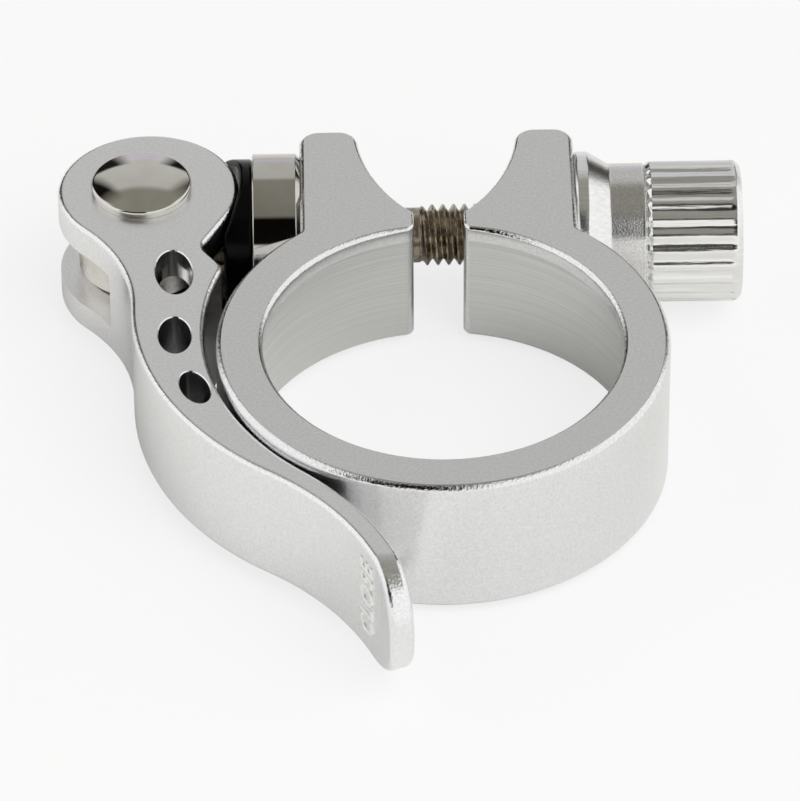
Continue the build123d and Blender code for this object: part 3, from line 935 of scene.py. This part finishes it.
def studio():
    """Soft light all round: white at the front and sides, grey above, pale behind, dark at the camera.

    An arch runs from the floor in front over the ceiling to the floor behind, coloured by its angle. Beside
    it stand the walls, coloured by height. How far a direction slants to the left or right tells the two
    apart: in the masks of the sides, black is the arch and white a wall."""
    white, black, grey, stone = "#FFFFFF", "#000000", "#96948C", "#A8A59C"
    soot, dusk, lilac = "#12100F", "#2A2826", "#DAD6E2"
    world = bpy.data.worlds.new("studio")
    bpy.context.scene.world = world
    world.use_nodes = True
    tree = world.node_tree
    tree.nodes.clear()
    way = add(tree, "ShaderNodeTexCoord").outputs["Generated"]
    axes = add(tree, "ShaderNodeSeparateXYZ", {"Vector": way}).outputs

    front = add(tree, "ShaderNodeMath", {0: axes["Y"], 1: -1.0}, operation="MULTIPLY").outputs["Value"]
    sweep = add(tree, "ShaderNodeMath", {0: axes["Z"], 1: front}, operation="ARCTAN2").outputs["Value"]
    turn = add(tree, "ShaderNodeMapRange", {"Value": sweep, "From Min": -pi, "From Max": pi})
    arch = add(
        tree,
        "ShaderNodeValToRGB",
        {"Fac": turn.outputs["Result"]},
        stops=(
            (0.0, lilac),
            (1.0, lilac),
            (0.2, "#F4F2EE"),
            (0.572, "#FFFDF8"),
            (0.582, "#0E0C0B"),
            (0.676, "#0B0A09"),
            (0.69, "#8C8A83"),
            (0.845, grey),
            (0.86, "#CCCCCA"),
            (0.955, "#D2D2D0"),
            (0.965, lilac),
        ),
    )

    depth = add(tree, "ShaderNodeMath", {0: axes["Y"]}, operation="ABSOLUTE").outputs["Value"]
    slant = add(tree, "ShaderNodeMath", {0: axes["X"], 1: depth}, operation="DIVIDE").outputs["Value"]
    across = add(
        tree, "ShaderNodeMapRange", {"Value": slant, "From Min": -2.0, "From Max": 2.0}
    ).outputs["Result"]
    front_sides, rear_sides, foot_sides = (
        add(
            tree,
            "ShaderNodeValToRGB",
            {"Fac": across},
            stops=((left_wall, white), (left, black), (right, black), (right_wall, white)),
        ).outputs["Color"]
        for left_wall, left, right, right_wall in (
            (0.18, 0.22, 0.54, 0.565),
            (0.36, 0.4, 0.6, 0.64),
            (0.45, 0.475, 0.525, 0.55),
        )
    )
    foot = add(
        tree, "ShaderNodeMapRange", {"Value": axes["Z"], "From Min": 0.36, "From Max": 0.32}
    ).outputs["Result"]
    back_sides = add(
        tree, "ShaderNodeMix", {0: foot, 6: rear_sides, 7: foot_sides}, data_type="RGBA"
    ).outputs[2]
    rear = add(
        tree, "ShaderNodeMapRange", {"Value": axes["Y"], "From Min": 0.15, "From Max": 0.3}
    ).outputs["Result"]
    sides = add(
        tree, "ShaderNodeMix", {0: rear, 6: front_sides, 7: back_sides}, data_type="RGBA"
    ).outputs[2]

    boxes, corners, gloom = (
        add(tree, "ShaderNodeValToRGB", {"Fac": axes["Z"]}, stops=stops).outputs["Color"]
        for stops in (
            ((0.0, white), (0.8, white), (0.88, grey)),
            ((0.0, dusk), (0.35, "#171514"), (0.38, stone), (0.44, stone), (0.48, soot), (0.8, grey)),
            ((0.0, dusk), (0.7, soot), (0.88, grey)),
        )
    )
    leftward = add(
        tree, "ShaderNodeMapRange", {"Value": slant, "From Min": -0.3, "From Max": -0.5}
    ).outputs["Result"]
    shade = add(tree, "ShaderNodeMix", {0: leftward, 6: corners, 7: gloom}, data_type="RGBA").outputs[2]
    tilt = add(tree, "ShaderNodeMath", {0: slant}, operation="ABSOLUTE").outputs["Value"]
    near_back = add(
        tree, "ShaderNodeMapRange", {"Value": tilt, "From Min": 1.15, "From Max": 0.9}
    ).outputs["Result"]
    dark = add(tree, "ShaderNodeMath", {0: rear, 1: near_back}, operation="MULTIPLY").outputs["Value"]
    walls = add(tree, "ShaderNodeMix", {0: dark, 6: boxes, 7: shade}, data_type="RGBA").outputs[2]

    room = add(tree, "ShaderNodeMix", {0: sides, 6: arch.outputs["Color"], 7: walls}, data_type="RGBA")
    light = add(tree, "ShaderNodeBackground", {"Color": room.outputs[2], "Strength": 1.0})
    plain = add(tree, "ShaderNodeBackground", {"Color": linear("#F7F7F7"), "Strength": 1.0})
    seen = add(tree, "ShaderNodeLightPath")
    mixed = add(
        tree,
        "ShaderNodeMixShader",
        {0: seen.outputs["Is Camera Ray"], 1: light.outputs["Background"], 2: plain.outputs["Background"]},
    )
    add(tree, "ShaderNodeOutputWorld", {"Surface": mixed.outputs["Shader"]})

    lamp = bpy.data.lights.new("overhead softbox", "AREA")
    lamp.shape = "SQUARE"
    lamp.size = 0.9
    lamp.energy = 7.2
    softbox = bpy.data.objects.new("overhead softbox", lamp)
    stand = Matrix.Translation((0.4, -0.45, 1.0))
    softbox.matrix_world = stand @ Matrix.Rotation(radians(20), 4, "Y") @ Matrix.Rotation(radians(22), 4, "X")
    softbox.visible_glossy = False
    bpy.context.scene.collection.objects.link(softbox)


def pale_floor():
    """A wide white sheet under the part, lit from behind for the camera so that shadows stay faint."""
    reach = 4.0
    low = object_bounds()[0][2] - 0.01 * MM
    mesh = bpy.data.meshes.new("floor")
    corners = [(-reach, -reach, low), (reach, -reach, low), (reach, reach, low), (-reach, reach, low)]
    mesh.from_pydata(corners, [], [(0, 1, 2, 3)])
    material, tree = blank_material("white acrylic, light table")
    sheet = add(tree, "ShaderNodeBsdfDiffuse", {"Color": linear("#F4F4F2")})
    glow = add(
        tree,
        "ShaderNodeBsdfPrincipled",
        {
            "Base Color": linear("#7A7A7A"),
            "Roughness": 0.9,
            "Specular IOR Level": 0.0,
            "Emission Color": linear("#F7F7F7"),
            "Emission Strength": 0.825,
        },
    )
    seen = add(tree, "ShaderNodeLightPath")
    mixed = add(
        tree,
        "ShaderNodeMixShader",
        {0: seen.outputs["Is Camera Ray"], 1: sheet.outputs["BSDF"], 2: glow.outputs["BSDF"]},
    )
    add(tree, "ShaderNodeOutputMaterial", {"Surface": mixed.outputs["Shader"]})
    mesh.materials.append(material)
    floor = bpy.data.objects.new("floor", mesh)
    bpy.context.scene.collection.objects.link(floor)


def camera():
    """A long lens at the photograph's place: the rows are the view's right, up and back directions.

    The photograph's height and the focal length are in its pixels, the place in millimetres."""
    photo_height, focal_length = 801, 7000
    data = bpy.data.cameras.new("camera")
    data.sensor_fit = "VERTICAL"
    data.sensor_height = 36.0
    data.lens = data.sensor_height * focal_length / photo_height
    data.clip_end = 20
    eye = bpy.data.objects.new("camera", data)
    bpy.context.scene.collection.objects.link(eye)
    axes = Matrix(
        (
            (0.99982, -0.0185, -0.00461),
            (0.01543, 0.64341, 0.76537),
            (-0.01119, -0.7653, 0.64358),
        )
    ).transposed()
    eye.matrix_world = Matrix.Translation((-10.938 * MM, -482.013 * MM, 405.284 * MM)) @ axes.to_4x4()
    bpy.context.scene.camera = eye


collar_metal = polished_aluminium(
    "tumbled aluminium, turned bore", "#E2E2E3", "#F1F1F2", grain_height=5.0, flat_roughness=0.36, bored=True
)
lever_metal = polished_aluminium(
    "tumbled aluminium, forged", "#E8E8E9", "#F6F6F7", grain_height=4.0, flat_roughness=0.34
)
letter_metal = frosted_aluminium("frosted aluminium, struck")
pin_plate = mirror_nickel("nickel plate, mirror", "#D2CFC8", "#DCDAD4")
spacer_plate = mirror_nickel("nickel plate, worn mirror", "#C4C1BA", "#CECCC6")
nut_plate = satin_nickel("nickel plate, satin")
rod_steel = oiled_steel("oiled steel, rolled thread", "#7C7062", "#C6BBA8", film_height=5.0)
eye_steel = oiled_steel("plated steel, tumbled eye", "#E2DED6", "#EAE7E0", film_height=0.5)
acetal = moulded_acetal("black acetal, moulded")

dress(collar_piece(), "collar", "polished_collar", collar_metal, "clamp_collar")
dress(lever_piece(), "lever", "polished_lever", lever_metal, "qr_lever")
dress(smooth_copy("cam_saddle", "cam_washer"), "collar", "black_washer", acetal, "cam_washer")
dress(spacer_piece(), "collar", "plated_spacer", spacer_plate, "spacer_ferrule")
dress(pin_piece(), "lever", "polished_pin", pin_plate, "pivot_pin")
dress(nut_piece(), "nut", "plated_nut", nut_plate, "thumb_nut")
dress(rod_piece(), "skewer", "steel_rod", rod_steel, "skewer_eye_rod")
dress(eye_piece(), "skewer", "steel_rod", eye_steel)
dress(lettering(), "lever", "polished_lever", letter_metal)

bpy.context.scene.view_settings.view_transform = "Standard"
studio()
pale_floor()
camera()
